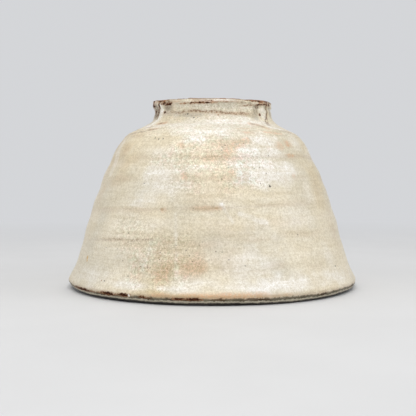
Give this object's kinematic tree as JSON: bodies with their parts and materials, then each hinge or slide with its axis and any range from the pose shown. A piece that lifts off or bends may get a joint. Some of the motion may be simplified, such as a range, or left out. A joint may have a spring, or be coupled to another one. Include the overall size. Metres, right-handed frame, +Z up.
{
  "type": "tea bowl",
  "caption": "Wheel-thrown stoneware tea bowl with flared rim, throwing rings, cream glaze and a low foot ring, turned over on its rim.",
  "frame": {"origin": "on the table under the bowl's axis, in the plane that the rim stands on", "axes": "+Z up along the bowl's axis, from the rim to the foot, because the picture shows the bowl turned over; -Y faces the picture's camera and +X is to its right. Turned half a turn about X it stands on its foot for use."},
  "size_m": [0.1278, 0.1278, 0.0818],
  "materials": {
    "stoneware": "matte",
    "cream_glaze": "satin",
    "thin_glaze": "satin"
  },
  "bodies": {
    "root": {"bowl_body": "stoneware", "foot_ring": "stoneware", "outer_glaze": "cream_glaze", "inner_glaze": "cream_glaze", "lip_glaze": "thin_glaze", "foot_glaze": "thin_glaze", "foot_well_glaze": "cream_glaze"}
  },
  "joints": []
}
